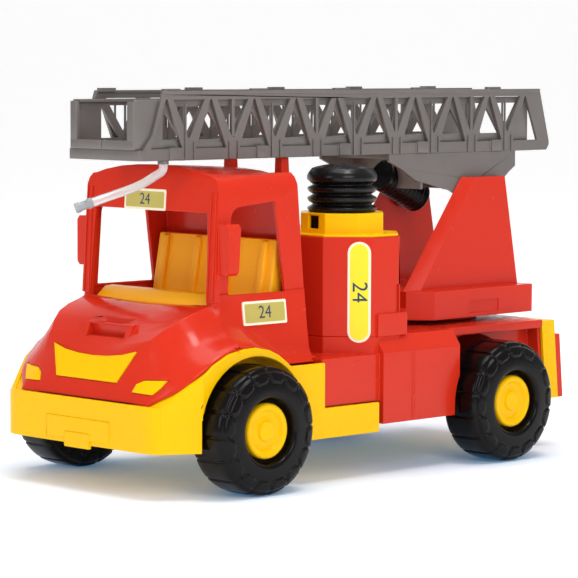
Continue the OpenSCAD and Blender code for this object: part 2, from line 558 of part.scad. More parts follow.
keel = [[turret_x - 71.5, lad_z], [turret_x - 71.5, lad_z - 5.4], [turret_x - 59, lad_z - 10.8],
    [turret_x - 43, lad_z - 20], [pivot_x - 27, pivot_z + 0.5]];
module wall_plate() {
    polygon([[lad_x0, lad_z], [lad_x1 - 3, lad_z], [lad_x1, lad_z + 4], [lad_x1, lad_z + 6.5], [lad_x1 - 11.5, lad_z + ladder_h],
        [apex0 - 3, lad_z + ladder_h], [apex0 - 13, lad_z + 17], [lad_x0, lad_z + 8]]);
}
module ladder_base() color(grey) place() union() {
    pair() translate([0, wall_y, 0]) rotate([90, 0, 0]) linear_extrude(ladder_t)
        lattice(apex0, fields, lad_z, ladder_h, base_chord, chord) wall_plate();
    // flanges that stiffen the chords inwards
    pair() box(lad_x0, lad_x1 - 3, wall_y - 6, wall_y - 0.5, lad_z, lad_z + 2.4);
    pair() box(apex0 - 2, lad_x1 - 12, wall_y - ladder_t - 0.1, wall_y + 0.9, lad_z + ladder_h - 2.2, lad_z + ladder_h);
    // ledges that the upper ladder slides on
    pair() box(lad_x0 + 2, lad_x1 - 12, wall_y - 5.5, wall_y - 0.5, top_z - seat_gap - 2, top_z - seat_gap);
    // columns at every second apex and posts at every second foot
    pair() for (i = [0 : 2 : fields - 1]) box(apex0 + i * pitch + 1, apex0 + i * pitch + 12, wall_y - 1, wall_y + 0.5,
        lad_z, lad_z + base_chord);
    pair() for (i = [0 : 2 : fields - 1]) box(apex0 + i * pitch - 1, apex0 + i * pitch + 13,
        wall_y - ladder_t - 2.4, wall_y - 0.5, lad_z + ladder_h - 1, lad_z + ladder_h + 1.6);
    // rungs and front cross bar
    for (i = [0 : fields - 1]) rod(apex0 + i * pitch + pitch / 2 - (i == fields - 1 ? 8 : 0), lad_z + rung_d / 2, rung_d,
        -wall_y + 1, wall_y - 1);
    box(lad_x0, lad_x0 + 3, -wall_y, wall_y, lad_z, lad_z + 7);
}
// keel plates under the ladder with the pivot stubs, the cross webs and the buffer's cradle
module ladder_keel() color(grey) place() union() {
    pair() translate([0, wall_y, 0]) rotate([90, 0, 0]) linear_extrude(ladder_t)
        polygon(concat(keel, arc(pivot_x, pivot_z, 16, 200, 335, 14), [[pivot_x + 34, pivot_z + 8.2],
            [pivot_x + 39.5, pivot_z + 12.6], [pivot_x + 46.5, pivot_z + 17], [pivot_x + 46.5, lad_z]]));
    difference() {
        for (x = [turret_x - 37, turret_x - 12]) box(x, x + 2.6, -wall_y + 1, wall_y - 1, pivot_z + 2, lad_z);
        buffer_axis() cylinder(d = buffer_d + 2 * seat_gap, h = 3 * buffer_l, center = true, $fn = 48);
    }
    for (x = [turret_x - 60, pivot_x + 34]) box(x, x + 2.4, -wall_y + 1, wall_y - 1, x > pivot_x ? lad_z - 14 : lad_z - 4, lad_z);
    pair() rod(pivot_x, pivot_z, pivot_d, wall_y - ladder_t - 2, cheek_gap / 2 + cheek_t - 2);
    pair() rod(pivot_x, pivot_z, pivot_d + 7, wall_y - ladder_t - 3, wall_y + 0.2);
}
module ladder_top() color(grey) place() union() {
    x1 = lad_x1 - 22;
    h = 33.5;
    pair() translate([0, top_y, 0]) rotate([90, 0, 0]) linear_extrude(ladder_t - 0.2) difference() {
        lattice(top_x0 + 42, fields - 1, top_z, h, 7.5, 4.5, 8.4, 0)
            polygon([[top_x0, top_z], [x1, top_z], [x1, top_z + h - 6], [x1 - 3, top_z + h], [top_x0 + 6, top_z + h], [top_x0, top_z + h - 6]]);
    }
    // front frame
    along_x([[-top_y, top_z], [top_y, top_z], [top_y, top_z + h - 6], [top_y - 5, top_z + h], [top_y - 8.4, top_z + h],
        [top_y - 8.4, top_z + 8], [-top_y + 8.4, top_z + 8], [-top_y + 8.4, top_z + h], [-top_y + 5, top_z + h],
        [-top_y, top_z + h - 6]], top_x0, top_x0 + 2.6);
    pair() box(top_x0, x1, top_y - 7, top_y - 0.5, top_z, top_z + 2.2);
    for (i = [0 : fields - 1]) rod(top_x0 + 21 + i * (x1 - top_x0 - 32) / (fields - 1), top_z + rung_d / 2, rung_d, -top_y + 1, top_y - 1);
}
// ribbed rubber buffer lying under the ladder, parallel to the keel's edge
module buffer_axis() translate([turret_x - 22, 0, pivot_z + 2.8]) rotate([0, 90 + 23.9, 0]) children();
module ladder_buffer() color(black) place() buffer_axis() translate([0, 0, -buffer_l / 2])
    rotate_extrude($fn = 48) let (r = buffer_d / 2, n = 8, h = (buffer_l - 11) / n) polygon(concat(
        [[0, 0], [r - 0.8, 0], [r, 0.8], [r, 4.2], [r - 1.4, 5]],
        [for (i = [0 : n - 1]) each [[r - 1.4, 5.5 + i * h + 0.2 * h], [r - 0.2, 5.5 + i * h + 0.4 * h],
            [r - 0.2, 5.5 + i * h + 0.75 * h], [r - 1.4, 5.5 + i * h + 0.95 * h]]],
        [[r - 1.4, buffer_l - 5], [r, buffer_l - 4.2], [r, buffer_l - 0.8], [r - 0.8, buffer_l], [0, buffer_l]]));

// collar where the hose leaves the ladder, the hose's hanging line and its nozzle
route = [[-27, -33, lad_z - port_h], [-27, -33, 218.7], [-27.2, -31.8, 216.4], [-28, -29.2, 214.5],
    [-29.4, -26.3, 212.7], [-31, -24, 210.8], [-33, -21.6, 208.9], [-35.3, -19.1, 207.1], [-37.7, -16.6, 205.5],
    [-40.3, -14.1, 204], [-43, -11.8, 202.7], [-46.3, -9, 201.2], [-49.7, -6.3, 199.7], [-53.1, -3.6, 198.2],
    [-56.6, -1, 196.7], [-60, 1.5, 195.2]];
hose_end = route[len(route) - 1];
module hose_port() color(grey) place() translate(route[0]) cylinder(d = hose_d + 1.6, h = port_h, $fn = 32);
module tube(pts, d, n = 10) {
    m = len(pts);
    dir = [for (i = [0 : m - 1]) let (a = pts[max(i - 1, 0)], b = pts[min(i + 1, m - 1)]) (b - a) / norm(b - a)];
    skin([for (i = [0 : m - 1]) let (u = cross(dir[i], [0.3, -0.8, 0.2]), v = u / norm(u), w = cross(dir[i], v))
        [for (j = [0 : n - 1]) pts[i] + d / 2 * (cos(j * 360 / n) * v + sin(j * 360 / n) * w)]]);
}
module hose() color("#e8eef0") place() tube(route, hose_d);
module hose_nozzle() color("#b9bec2") place() tube([hose_end,
    hose_end + 0.9 * (hose_end - route[len(route) - 2]), hose_end + [-10.6, 12.2, -4.8]], 8, 16);

chassis_frame();
front_axle();
rear_axle();
tyre_front_left();
tyre_front_right();
tyre_rear_left();
tyre_rear_right();
hub_front_left();
hub_front_right();
hub_rear_left();
hub_rear_right();
cab_shell();
cab_seat();
grille_insert();
headlight_left();
headlight_right();
rear_body();
water_tank();
tank_collar();
pump_bellows();
pump_cap();
tailboard();
tail_panel();
turntable_disc();
turret_body();
ladder_base();
ladder_keel();
ladder_top();
ladder_buffer();
hose_port();
hose();
hose_nozzle();
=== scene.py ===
import math

import bmesh
import bpy
from mathutils import Matrix, Vector


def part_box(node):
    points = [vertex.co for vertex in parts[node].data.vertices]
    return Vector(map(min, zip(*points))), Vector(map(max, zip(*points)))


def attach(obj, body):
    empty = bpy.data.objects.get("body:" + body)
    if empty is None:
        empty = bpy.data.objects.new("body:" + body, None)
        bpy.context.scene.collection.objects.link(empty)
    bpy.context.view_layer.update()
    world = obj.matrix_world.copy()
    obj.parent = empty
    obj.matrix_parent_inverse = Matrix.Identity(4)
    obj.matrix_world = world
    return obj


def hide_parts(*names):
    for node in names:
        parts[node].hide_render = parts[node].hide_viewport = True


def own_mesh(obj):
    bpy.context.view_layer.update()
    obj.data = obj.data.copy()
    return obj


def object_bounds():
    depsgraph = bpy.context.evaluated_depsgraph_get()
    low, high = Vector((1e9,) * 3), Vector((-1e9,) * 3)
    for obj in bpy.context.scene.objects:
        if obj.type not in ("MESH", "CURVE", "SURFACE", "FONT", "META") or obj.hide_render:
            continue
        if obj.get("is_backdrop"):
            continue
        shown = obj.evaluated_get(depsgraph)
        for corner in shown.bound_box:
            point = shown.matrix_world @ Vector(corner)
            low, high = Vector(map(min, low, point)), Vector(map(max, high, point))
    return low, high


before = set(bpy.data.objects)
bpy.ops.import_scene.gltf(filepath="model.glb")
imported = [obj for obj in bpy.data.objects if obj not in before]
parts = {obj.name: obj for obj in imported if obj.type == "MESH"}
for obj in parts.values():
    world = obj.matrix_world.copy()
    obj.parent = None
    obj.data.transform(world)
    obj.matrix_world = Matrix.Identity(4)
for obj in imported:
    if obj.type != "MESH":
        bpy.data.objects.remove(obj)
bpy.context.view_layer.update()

# ---------------------------------------------------------------- viewpoint
# The engine is seen from its left front corner, a little above the bonnet,
# through a long lens.
bpy.ops.object.select_all(action="DESELECT")
eye_place = (-1.443126, -1.462, 0.292)
heading, dip, roll = math.radians(-44.23), math.radians(90 - 4.65), math.radians(0.22)
eye = bpy.data.cameras.new("eye")
eye.sensor_width = 36.0
eye.lens = 175.7
eye.clip_start, eye.clip_end = 0.1, 60.0
eye.shift_x, eye.shift_y = -0.0033, 0.0005
viewer = bpy.data.objects.new("viewer", eye)
bpy.context.collection.objects.link(viewer)
viewer.matrix_world = (Matrix.Translation(eye_place) @ Matrix.Rotation(heading, 4, "Z")
                       @ Matrix.Rotation(dip, 4, "X") @ Matrix.Rotation(roll, 4, "Z"))
bpy.context.scene.camera = viewer

# ------------------------------------------------------------- hose and nozzle
# A short clear vinyl hose hangs from a collar under the ladder's front end and
# reaches ahead of the cab, where it is pushed into a smoky plastic nozzle.
middle_x = 146.126      # from the front axle to the middle of the engine, in mm
hose_points = [Vector(((x - middle_x) / 1000, y / 1000, z / 1000)) for x, y, z in (
    (-27, -33, 221.2), (-27, -33, 218.7), (-27.2, -31.8, 216.4), (-28, -29.2, 214.5),
    (-29.4, -26.3, 212.7), (-31, -24, 210.8), (-33, -21.6, 208.9), (-35.3, -19.1, 207.1),
    (-37.7, -16.6, 205.5), (-40.3, -14.1, 204), (-43, -11.8, 202.7), (-46.3, -9, 201.2),
    (-49.7, -6.3, 199.7), (-53.1, -3.6, 198.2), (-56.6, -1, 196.7), (-60, 1.5, 195.2))]
hose_outer = 0.003
off_line = Vector((0.3, -0.8, 0.2))     # a direction the hose never takes


def tube_along(points, radii, sides):
    """A closed round tube whose rings stand square to the line through the points."""
    built = bmesh.new()
    rings = []
    for i, p in enumerate(points):
        way = (points[min(i + 1, len(points) - 1)] - points[max(i - 1, 0)]).normalized()
        across = way.cross(off_line).normalized()
        up = way.cross(across)
        turns = [2 * math.pi * k / sides for k in range(sides)]
        rings.append([built.verts.new(p + radii[i] * (math.cos(turn) * across + math.sin(turn) * up))
                      for turn in turns])
    for a, b in zip(rings, rings[1:]):
        for k in range(sides):
            built.faces.new((a[k], a[(k + 1) % sides], b[(k + 1) % sides], b[k]))
    built.faces.new(rings[0][::-1])
    built.faces.new(rings[-1])
    bmesh.ops.recalc_face_normals(built, faces=built.faces[:])
    return built


def smooth_line(points, steps):
    """The same route with rounder bends, by splines through its points."""
    out = []
    for i in range(len(points) - 1):
        a, b = points[i], points[i + 1]
        before = points[i - 1] if i else a
        after = points[i + 2] if i + 2 < len(points) else b
        for s in range(steps):
            t = s / steps
            out.append(0.5 * ((2 * a) + (b - before) * t + (2 * before - 5 * a + 4 * b - after) * t * t
                              + (3 * a - before - 3 * b + after) * t ** 3))
    return out + [points[-1]]


def shown(name, mesh):
    """An object of this name with this mesh, at the origin."""
    piece = bpy.data.objects.new(name, mesh)
    bpy.context.collection.objects.link(piece)
    return piece


def as_piece(name, built):
    """The built mesh as an object of this name."""
    mesh = bpy.data.meshes.new(name)
    built.to_mesh(mesh)
    built.free()
    return shown(name, mesh)


def only(piece):
    """Deselect all, then pick this piece."""
    bpy.ops.object.select_all(action="DESELECT")
    piece.select_set(True)
    bpy.context.view_layer.objects.active = piece


def clear_plastic(name, colour, roughness, clearness, ior, grain, bump):
    """A see-through plastic with a fine unevenness."""
    finish = bpy.data.materials.new(name)
    finish.use_nodes = True
    tree = finish.node_tree
    shader = tree.nodes["Principled BSDF"]
    shader.inputs["Base Color"].default_value = (*colour, 1)
    shader.inputs["Roughness"].default_value = roughness
    shader.inputs["Transmission Weight"].default_value = clearness
    shader.inputs["IOR"].default_value = ior
    cloud = tree.nodes.new("ShaderNodeTexNoise")
    cloud.inputs["Scale"].default_value = grain
    place = tree.nodes.new("ShaderNodeTexCoord")
    raised = tree.nodes.new("ShaderNodeBump")
    raised.inputs["Strength"].default_value = bump
    raised.inputs["Distance"].default_value = 0.0003
    tree.links.new(place.outputs["Object"], cloud.inputs["Vector"])
    tree.links.new(cloud.outputs["Fac"], raised.inputs["Height"])
    tree.links.new(raised.outputs["Normal"], shader.inputs["Normal"])
    return finish


def fitted(piece, finish, body, node=None):
    """Give the piece its finish, let it ride on the body, and hide the frame node it stands for."""
    piece.data.materials.append(finish)
    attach(piece, body)
    if node:
        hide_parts(node)


hose_line = smooth_line(hose_points, steps=3)
hose_piece = as_piece("clear_hose", tube_along(hose_line, [hose_outer] * len(hose_line), sides=20))
only(hose_piece)
bpy.ops.object.shade_smooth_by_angle(angle=math.radians(50))
vinyl = clear_plastic("clear_vinyl", (0.93, 0.94, 0.95), 0.22, clearness=0.6, ior=1.3, grain=260, bump=0.15)
fitted(hose_piece, vinyl, "lower_ladder", "hose")

# the nozzle's collar, neck and mouth: how far along it lies and how wide it is
nozzle_way = (hose_points[-1] - hose_points[-2]).normalized()
nozzle_steps = [(0.0, 0.0033), (0.0008, 0.0037), (0.0034, 0.0037), (0.0042, 0.0031),
                (0.0088, 0.0031), (0.0096, 0.0036), (0.0124, 0.0036), (0.0129, 0.0031)]
nozzle_line = [hose_points[-1] + nozzle_way * along for along, _ in nozzle_steps]
nozzle_piece = as_piece("hose_jet", tube_along(nozzle_line, [radius for _, radius in nozzle_steps], sides=6))
only(nozzle_piece)
bpy.ops.object.shade_smooth_by_angle(angle=math.radians(40))
smoke = clear_plastic("smoky_plastic", (0.42, 0.45, 0.48), 0.2, clearness=0.35, ior=1.4, grain=420, bump=0.2)
fitted(nozzle_piece, smoke, "lower_ladder", "hose_nozzle")

# ------------------------------------------------------------- yellow chassis
# One tray-shaped injection moulding in yellow: bumper, fenders, steps and the
# floor with the axle bearings. Its corners are eased by the mould.
same_place = 0.00002    # points nearer than this are one


def apply_modifier(piece, kind, **settings):
    """Add one modifier to the active piece and apply it."""
    step = piece.modifiers.new(kind.lower(), kind)
    for setting, value in settings.items():
        setattr(step, setting, value)
    bpy.ops.object.modifier_apply(modifier=step.name)


def eased(name, node, edge, crease=32, smooth=38):
    """A moulding taken from its frame node, with its corners rounded by edge."""
    piece = shown(name, parts[node].data.copy())
    piece.data.materials.clear()
    only(piece)
    bpy.ops.object.mode_set(mode="EDIT")
    bpy.ops.mesh.select_all(action="SELECT")
    bpy.ops.mesh.remove_doubles(threshold=same_place)
    bpy.ops.object.mode_set(mode="OBJECT")
    apply_modifier(piece, "BEVEL", width=edge, segments=2, limit_method="ANGLE",
                   angle_limit=math.radians(crease), use_clamp_overlap=False, miter_outer="MITER_ARC")
    bpy.ops.object.shade_smooth_by_angle(angle=math.radians(smooth))
    apply_modifier(piece, "WEIGHTED_NORMAL", keep_sharp=True)
    return piece


def moulding_skin():
    """Fine orange peel, faint flow marks and a slight unevenness of gloss."""
    skin = bpy.data.node_groups.new("moulding_skin", "ShaderNodeTree")
    face = skin.interface
    for name, kind, value in (("Colour", "Color", (1, 1, 1, 1)), ("Flow", "Float", 0.04),
                              ("Gloss", "Float", 0.3), ("Peel", "Float", 0.12)):
        face.new_socket(name=name, in_out="INPUT", socket_type="NodeSocket" + kind).default_value = value
    for name, kind in (("Colour", "Color"), ("Roughness", "Float"), ("Normal", "Vector")):
        face.new_socket(name=name, in_out="OUTPUT", socket_type="NodeSocket" + kind)
    add, link = skin.nodes.new, skin.links.new
    given, out, place = add("NodeGroupInput"), add("NodeGroupOutput"), add("ShaderNodeTexCoord")
    # broad flow marks lighten and darken the colour
    flow = add("ShaderNodeTexNoise")
    flow.inputs["Scale"].default_value = 22
    flow.inputs["Detail"].default_value = 3
    flow.inputs["Distortion"].default_value = 0.8
    link(place.outputs["Object"], flow.inputs["Vector"])
    level = add("ShaderNodeMapRange")
    level.inputs["From Min"].default_value, level.inputs["From Max"].default_value = 0.3, 0.7
    level.inputs["To Min"].default_value, level.inputs["To Max"].default_value = -1.0, 1.0
    link(flow.outputs["Fac"], level.inputs["Value"])
    amount = add("ShaderNodeMath")
    amount.operation = "MULTIPLY"
    link(level.outputs["Result"], amount.inputs[0])
    link(given.outputs["Flow"], amount.inputs[1])
    one = add("ShaderNodeMath")
    one.inputs[1].default_value = 1.0
    link(amount.outputs[0], one.inputs[0])
    tint = add("ShaderNodeVectorMath")
    tint.operation = "SCALE"
    link(given.outputs["Colour"], tint.inputs[0])
    link(one.outputs[0], tint.inputs["Scale"])
    link(tint.outputs["Vector"], out.inputs["Colour"])
    # small scuffs make the gloss uneven
    scuff = add("ShaderNodeTexNoise")
    scuff.inputs["Scale"].default_value = 140
    scuff.inputs["Detail"].default_value = 6
    link(place.outputs["Object"], scuff.inputs["Vector"])
    dull = add("ShaderNodeMapRange")
    dull.inputs["From Min"].default_value, dull.inputs["From Max"].default_value = 0.35, 0.75
    dull.inputs["To Min"].default_value, dull.inputs["To Max"].default_value = -0.05, 0.09
    link(scuff.outputs["Fac"], dull.inputs["Value"])
    rough = add("ShaderNodeMath")
    link(given.outputs["Gloss"], rough.inputs[0])
    link(dull.outputs["Result"], rough.inputs[1])
    link(rough.outputs[0], out.inputs["Roughness"])
    # fine orange peel on slow waves bends the reflections
    peel = add("ShaderNodeTexNoise")
    peel.inputs["Scale"].default_value = 520
    peel.inputs["Detail"].default_value = 2
    link(place.outputs["Object"], peel.inputs["Vector"])
    wave = add("ShaderNodeTexNoise")
    wave.inputs["Scale"].default_value = 60
    wave.inputs["Detail"].default_value = 1
    link(place.outputs["Object"], wave.inputs["Vector"])
    both = add("ShaderNodeMath")
    both.operation = "MULTIPLY_ADD"
    both.inputs[1].default_value = 2.5
    link(wave.outputs["Fac"], both.inputs[0])
    link(peel.outputs["Fac"], both.inputs[2])
    raised = add("ShaderNodeBump")
    raised.inputs["Distance"].default_value = 0.0004
    link(given.outputs["Peel"], raised.inputs["Strength"])
    link(both.outputs[0], raised.inputs["Height"])
    link(raised.outputs["Normal"], out.inputs["Normal"])
    return skin


plastic_skin = moulding_skin()


def plastic(name, colour, gloss, flow=0.015, peel=0.05, metallic=0.0, shine=0.3):
    """An injection moulding's finish, on the shared skin."""
    finish = bpy.data.materials.new(name)
    finish.use_nodes = True
    tree = finish.node_tree
    shader = tree.nodes["Principled BSDF"]
    skin = tree.nodes.new("ShaderNodeGroup")
    skin.node_tree = plastic_skin
    skin.inputs["Colour"].default_value = (*colour, 1)
    skin.inputs["Gloss"].default_value = gloss
    skin.inputs["Flow"].default_value = flow
    skin.inputs["Peel"].default_value = peel
    tree.links.new(skin.outputs["Colour"], shader.inputs["Base Color"])
    tree.links.new(skin.outputs["Roughness"], shader.inputs["Roughness"])
    tree.links.new(skin.outputs["Normal"], shader.inputs["Normal"])
    shader.inputs["Metallic"].default_value = metallic
    shader.inputs["IOR"].default_value = 1.47
    shader.inputs["Specular IOR Level"].default_value = shine
    return finish


yellow = plastic("yellow_moulding", (0.94, 0.52, 0.0), 0.26, flow=0.012, peel=0.012, shine=0.13)
chassis = eased("yellow_chassis", "chassis_frame", edge=0.0007)
fitted(chassis, yellow, "chassis", "chassis_frame")

# --------------------------------------------------------------------- axles
# Two bright steel rods, drawn to size, with the wheels turning on their ends.
steel = bpy.data.materials.new("drawn_steel")
steel.use_nodes = True
nodes, links = steel.node_tree.nodes, steel.node_tree.links
steel_shader = nodes["Principled BSDF"]
steel_shader.inputs["Base Color"].default_value = (0.62, 0.63, 0.65, 1)
steel_shader.inputs["Metallic"].default_value = 1.0
drawn_lines = nodes.new("ShaderNodeTexNoise")
drawn_lines.inputs["Scale"].default_value = 300
place = nodes.new("ShaderNodeTexCoord")
along_rod = nodes.new("ShaderNodeMapping")
along_rod.inputs["Scale"].default_value = (8, 0.2, 8)
level = nodes.new("ShaderNodeMapRange")
level.inputs["To Min"].default_value, level.inputs["To Max"].default_value = 0.22, 0.42
links.new(place.outputs["Object"], along_rod.inputs["Vector"])
links.new(along_rod.outputs["Vector"], drawn_lines.inputs["Vector"])
links.new(drawn_lines.outputs["Fac"], level.inputs["Value"])
links.new(level.outputs["Result"], steel_shader.inputs["Roughness"])
for axle in ("front_axle", "rear_axle"):
    parts[axle].data.materials.clear()
    parts[axle].data.materials.append(steel)

# -------------------------------------------------------------------- wheels
# Black blow-moulded tyres with sixteen lugs whose rounded ends wrap on to the
# shoulders, and a yellow cap pressed into the recess of each. One lug's sector
# is modelled and repeated round the axle. Both are glossy.
mm = 0.001
lugs = 16
lug_turn = math.radians(360 / lugs)
groove_turn = math.radians(2.3)
lug_slope, lug_rise = 0.25 * mm, 1.15 * mm
lug_steps, cap_steps = 10, 72
tongue_tip, tongue_round = 33.2, 4.6        # how far in a lug reaches, and the round of its end
shoulder_from, tread_from = 15.5, 41        # where a lug may stand, across and outwards
tyre_middle, cap_face = 93.5 * mm, 108.4 * mm
# half section of the sunk skin, from the axle out to the middle of the tread
tyre_section = [(8, 10), (19, 10), (21.2, 10.8), (21.9, 13), (22.4, 16), (23.4, 17.7), (25.2, 18.1),
                (28.5, 17.9), (31, 17.7), (32.4, 17.55), (33.4, 17.4), (34.3, 17.3), (35.2, 17.2),
                (36.1, 17.05), (37.2, 16.85), (38.6, 16.4), (40, 15.7), (41.5, 14.4), (42.6, 12),
                (42.9, 8), (42.9, 3)]
# the cap: a flat rim, a dished ring and a low boss in its middle
cap_section = [(0, -1.3), (3.6, -1.1), (5.4, -0.7), (6.6, -1.1), (7.3, -2.5), (9.4, -3.1), (12.2, -3.1),
               (13.3, -2.5), (14, -1), (15, -0.25), (16.4, 0), (17.7, -0.15), (18.5, -0.9), (18.8, -2),
               (18.9, -9), (0, -9)]


def profile_piece(name, section):
    """A line of edges in the plane of X = 0, from (radius, place along Y) in mm."""
    mesh = bpy.data.meshes.new(name)
    mesh.from_pydata([(0, across * mm, radius * mm) for radius, across in section],
                     [(i, i + 1) for i in range(len(section) - 1)], [])
    piece = shown(name, mesh)
    only(piece)
    bpy.ops.object.mode_set(mode="EDIT")
    bpy.ops.mesh.select_all(action="SELECT")
    return piece


def close_and_turn_out(merge=same_place):
    """Merge the doubles of the active piece and turn its faces outwards."""
    bpy.ops.object.mode_set(mode="EDIT")
    bpy.ops.mesh.select_all(action="SELECT")
    bpy.ops.mesh.remove_doubles(threshold=merge)
    bpy.ops.mesh.normals_make_consistent(inside=False)
    bpy.ops.object.mode_set(mode="OBJECT")


def is_lug(centre):
    """Whether a face of the first sector belongs to the lug: a tongue with round ends."""
    turn = abs(math.atan2(centre.x, centre.z))
    radius, across = math.hypot(centre.x, centre.z) / mm, abs(centre.y) / mm
    off_middle = abs(turn / (lug_turn - groove_turn) - 0.5) * 2
    if off_middle > 1:
        return False
    tip = tongue_tip + tongue_round * (1 - math.sqrt(1 - off_middle ** 2))
    return radius > tip and (across > shoulder_from or radius > tread_from)


sector = profile_piece("tyre_skin", tyre_section + [(r, -y) for r, y in reversed(tyre_section)])
bpy.ops.mesh.spin(steps=lug_steps, angle=lug_turn - groove_turn, center=(0, 0, 0), axis=(0, 1, 0))
bpy.ops.mesh.spin(steps=1, angle=groove_turn, center=(0, 0, 0), axis=(0, 1, 0))
close_and_turn_out()
bpy.ops.object.mode_set(mode="EDIT")
bpy.ops.mesh.select_mode(type="FACE")
bpy.ops.mesh.select_all(action="DESELECT")
bpy.ops.object.mode_set(mode="OBJECT")
for face in sector.data.polygons:
    face.select = is_lug(face.center)
bpy.ops.object.mode_set(mode="EDIT")
bpy.ops.mesh.inset(thickness=lug_slope, depth=lug_rise, use_boundary=True)
bpy.ops.mesh.select_mode(type="VERT")
bpy.ops.object.mode_set(mode="OBJECT")
next_lug = shown("next_lug", None)
next_lug.rotation_euler = (0, lug_turn, 0)
bpy.context.view_layer.update()
apply_modifier(sector, "ARRAY", count=lugs, use_relative_offset=False, use_object_offset=True,
               offset_object=next_lug, use_merge_vertices=True, use_merge_vertices_cap=True,
               merge_threshold=0.00003)
bpy.data.objects.remove(next_lug)
only(sector)
close_and_turn_out(2 * same_place)
apply_modifier(sector, "SUBSURF", levels=1, render_levels=1)
bpy.ops.object.shade_smooth()

cap_mould = profile_piece("cap_mould", cap_section)
bpy.ops.mesh.spin(steps=cap_steps, angle=2 * math.pi, center=(0, 0, 0), axis=(0, 1, 0))
close_and_turn_out()
bpy.ops.object.shade_smooth_by_angle(angle=math.radians(40))

tyre_black = plastic("tyre_black", (0.0035, 0.0026, 0.0026), 0.17, flow=0.03, peel=0.01, shine=0.17)
for wheel, phase in (("front_left", 14.0), ("front_right", 3.0), ("rear_left", 1.3), ("rear_right", 9.0)):
    low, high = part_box("tyre_" + wheel)
    side = 1 if wheel.endswith("right") else -1
    axis_at = Vector(((low.x + high.x) / 2, 0, (low.z + high.z) / 2))
    tyre = shown("tyre_" + wheel + "_skin", sector.data.copy())
    tyre.data.transform(Matrix.Translation(axis_at + Vector((0, side * tyre_middle, 0)))
                        @ Matrix.Rotation(math.radians(90 - phase) - lug_turn / 2, 4, "Y"))
    fitted(tyre, tyre_black, "wheel_" + wheel, "tyre_" + wheel)
    cap = shown("cap_" + wheel, cap_mould.data.copy())
    cap.data.transform(Matrix.Translation(axis_at + Vector((0, side * cap_face, 0)))
                       @ Matrix.Rotation(0 if side > 0 else math.pi, 4, "Z"))
    fitted(cap, yellow, "wheel_" + wheel, "hub_" + wheel)
bpy.data.objects.remove(sector)
bpy.data.objects.remove(cap_mould)

# ----------------------------------------------------------------- cab shell
# The bonnet, doors and roof are one red shell with open windows, clipped down
# on the yellow chassis. Its skin is glossy.
red = plastic("red_moulding", (0.63, 0.027, 0.009), 0.2, flow=0.012, peel=0.012, shine=0.24)
cab = eased("red_cab", "cab_shell", edge=0.0006, crease=30, smooth=34)
fitted(cab, red, "chassis", "cab_shell")

# ------------------------------------------------- seat, grille and headlights
# The bench and dashboard are one amber moulding; the grille and the two lamps
# are yellow plates snapped into pockets in the bonnet.
amber = plastic("amber_moulding", (1.0, 0.46, 0.012), 0.34, peel=0.012)
seat = eased("bench_and_dash", "cab_seat", edge=0.0015)
fitted(seat, amber, "chassis", "cab_seat")
for trim, slot in (("grille_insert", "amber_plastic"), ("headlight_left", "lamp_yellow"),
                   ("headlight_right", "lamp_yellow")):
    fitted(eased(trim + "_plate", trim, edge=0.0003), yellow, "chassis", trim)

# ----------------------------------------------------- body, tank and turret
# The rear body with its lockers, the hollow water tank, and the turret are
# red mouldings; the tailboard is yellow with a red panel screwed behind it.
for name, node, body, edge, finish, slot in (
        ("red_body", "rear_body", "chassis", 0.0007, red, "red_plastic"),
        ("red_tank", "water_tank", "chassis", 0.0007, red, "red_plastic"),
        ("pump_collar", "tank_collar", "chassis", 0.0006, yellow, "yellow_plastic"),
        ("yellow_tailboard", "tailboard", "chassis", 0.0007, yellow, "yellow_plastic"),
        ("red_tail", "tail_panel", "chassis", 0.0007, red, "red_plastic"),
        ("red_disc", "turntable_disc", "turret", 0.0005, red, "red_plastic"),
        ("red_turret", "turret_body", "turret", 0.0002, red, "red_plastic")):
    fitted(eased(name, node, edge), finish, body, node)

# --------------------------------------------------------------------- pump
# A soft black bellows with a domed top, pressed by hand to pump the water.
soft_black = plastic("soft_black", (0.004, 0.004, 0.005), 0.27, flow=0.08, peel=0.03, shine=0.3)
bellows = eased("pump_folds", "pump_bellows", edge=0.0003, crease=60, smooth=60)
fitted(bellows, soft_black, "pump", "pump_bellows")
low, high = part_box("pump_bellows")
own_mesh(bellows)
dome = eased("pump_dome", "pump_cap", edge=0.0005, crease=40, smooth=45)
fitted(dome, soft_black, "pump", "pump_cap")

# ------------------------------------------------------------------ ladders
# Two grey trusses, one sliding in the other, in a plastic with a silvery
# pigment; the black ribbed buffer lies in a cradle under the lower one.
silver_grey = plastic("silver_grey", (0.185, 0.168, 0.160), 0.34, flow=0.05, peel=0.015, metallic=0.3)
for name, node, slot, finish in (("lower_truss", "ladder_base", "grey_plastic", silver_grey),
                                 ("ladder_keel_plates", "ladder_keel", "grey_plastic", silver_grey),
                                 ("hose_collar", "hose_port", "grey_plastic", silver_grey),
                                 ("ribbed_buffer", "ladder_buffer", "black_rubber", soft_black)):
    fitted(eased(name, node, edge=0.0004), finish, "lower_ladder", node)


def extrude_all(offset):
    """In edit mode, give the selected faces their thickness, and end in object mode."""
    bpy.ops.mesh.extrude_region_move(TRANSFORM_OT_translate={"value": offset})
    bpy.ops.mesh.select_all(action="SELECT")
    bpy.ops.mesh.normals_make_consistent(inside=False)
    bpy.ops.object.mode_set(mode="OBJECT")


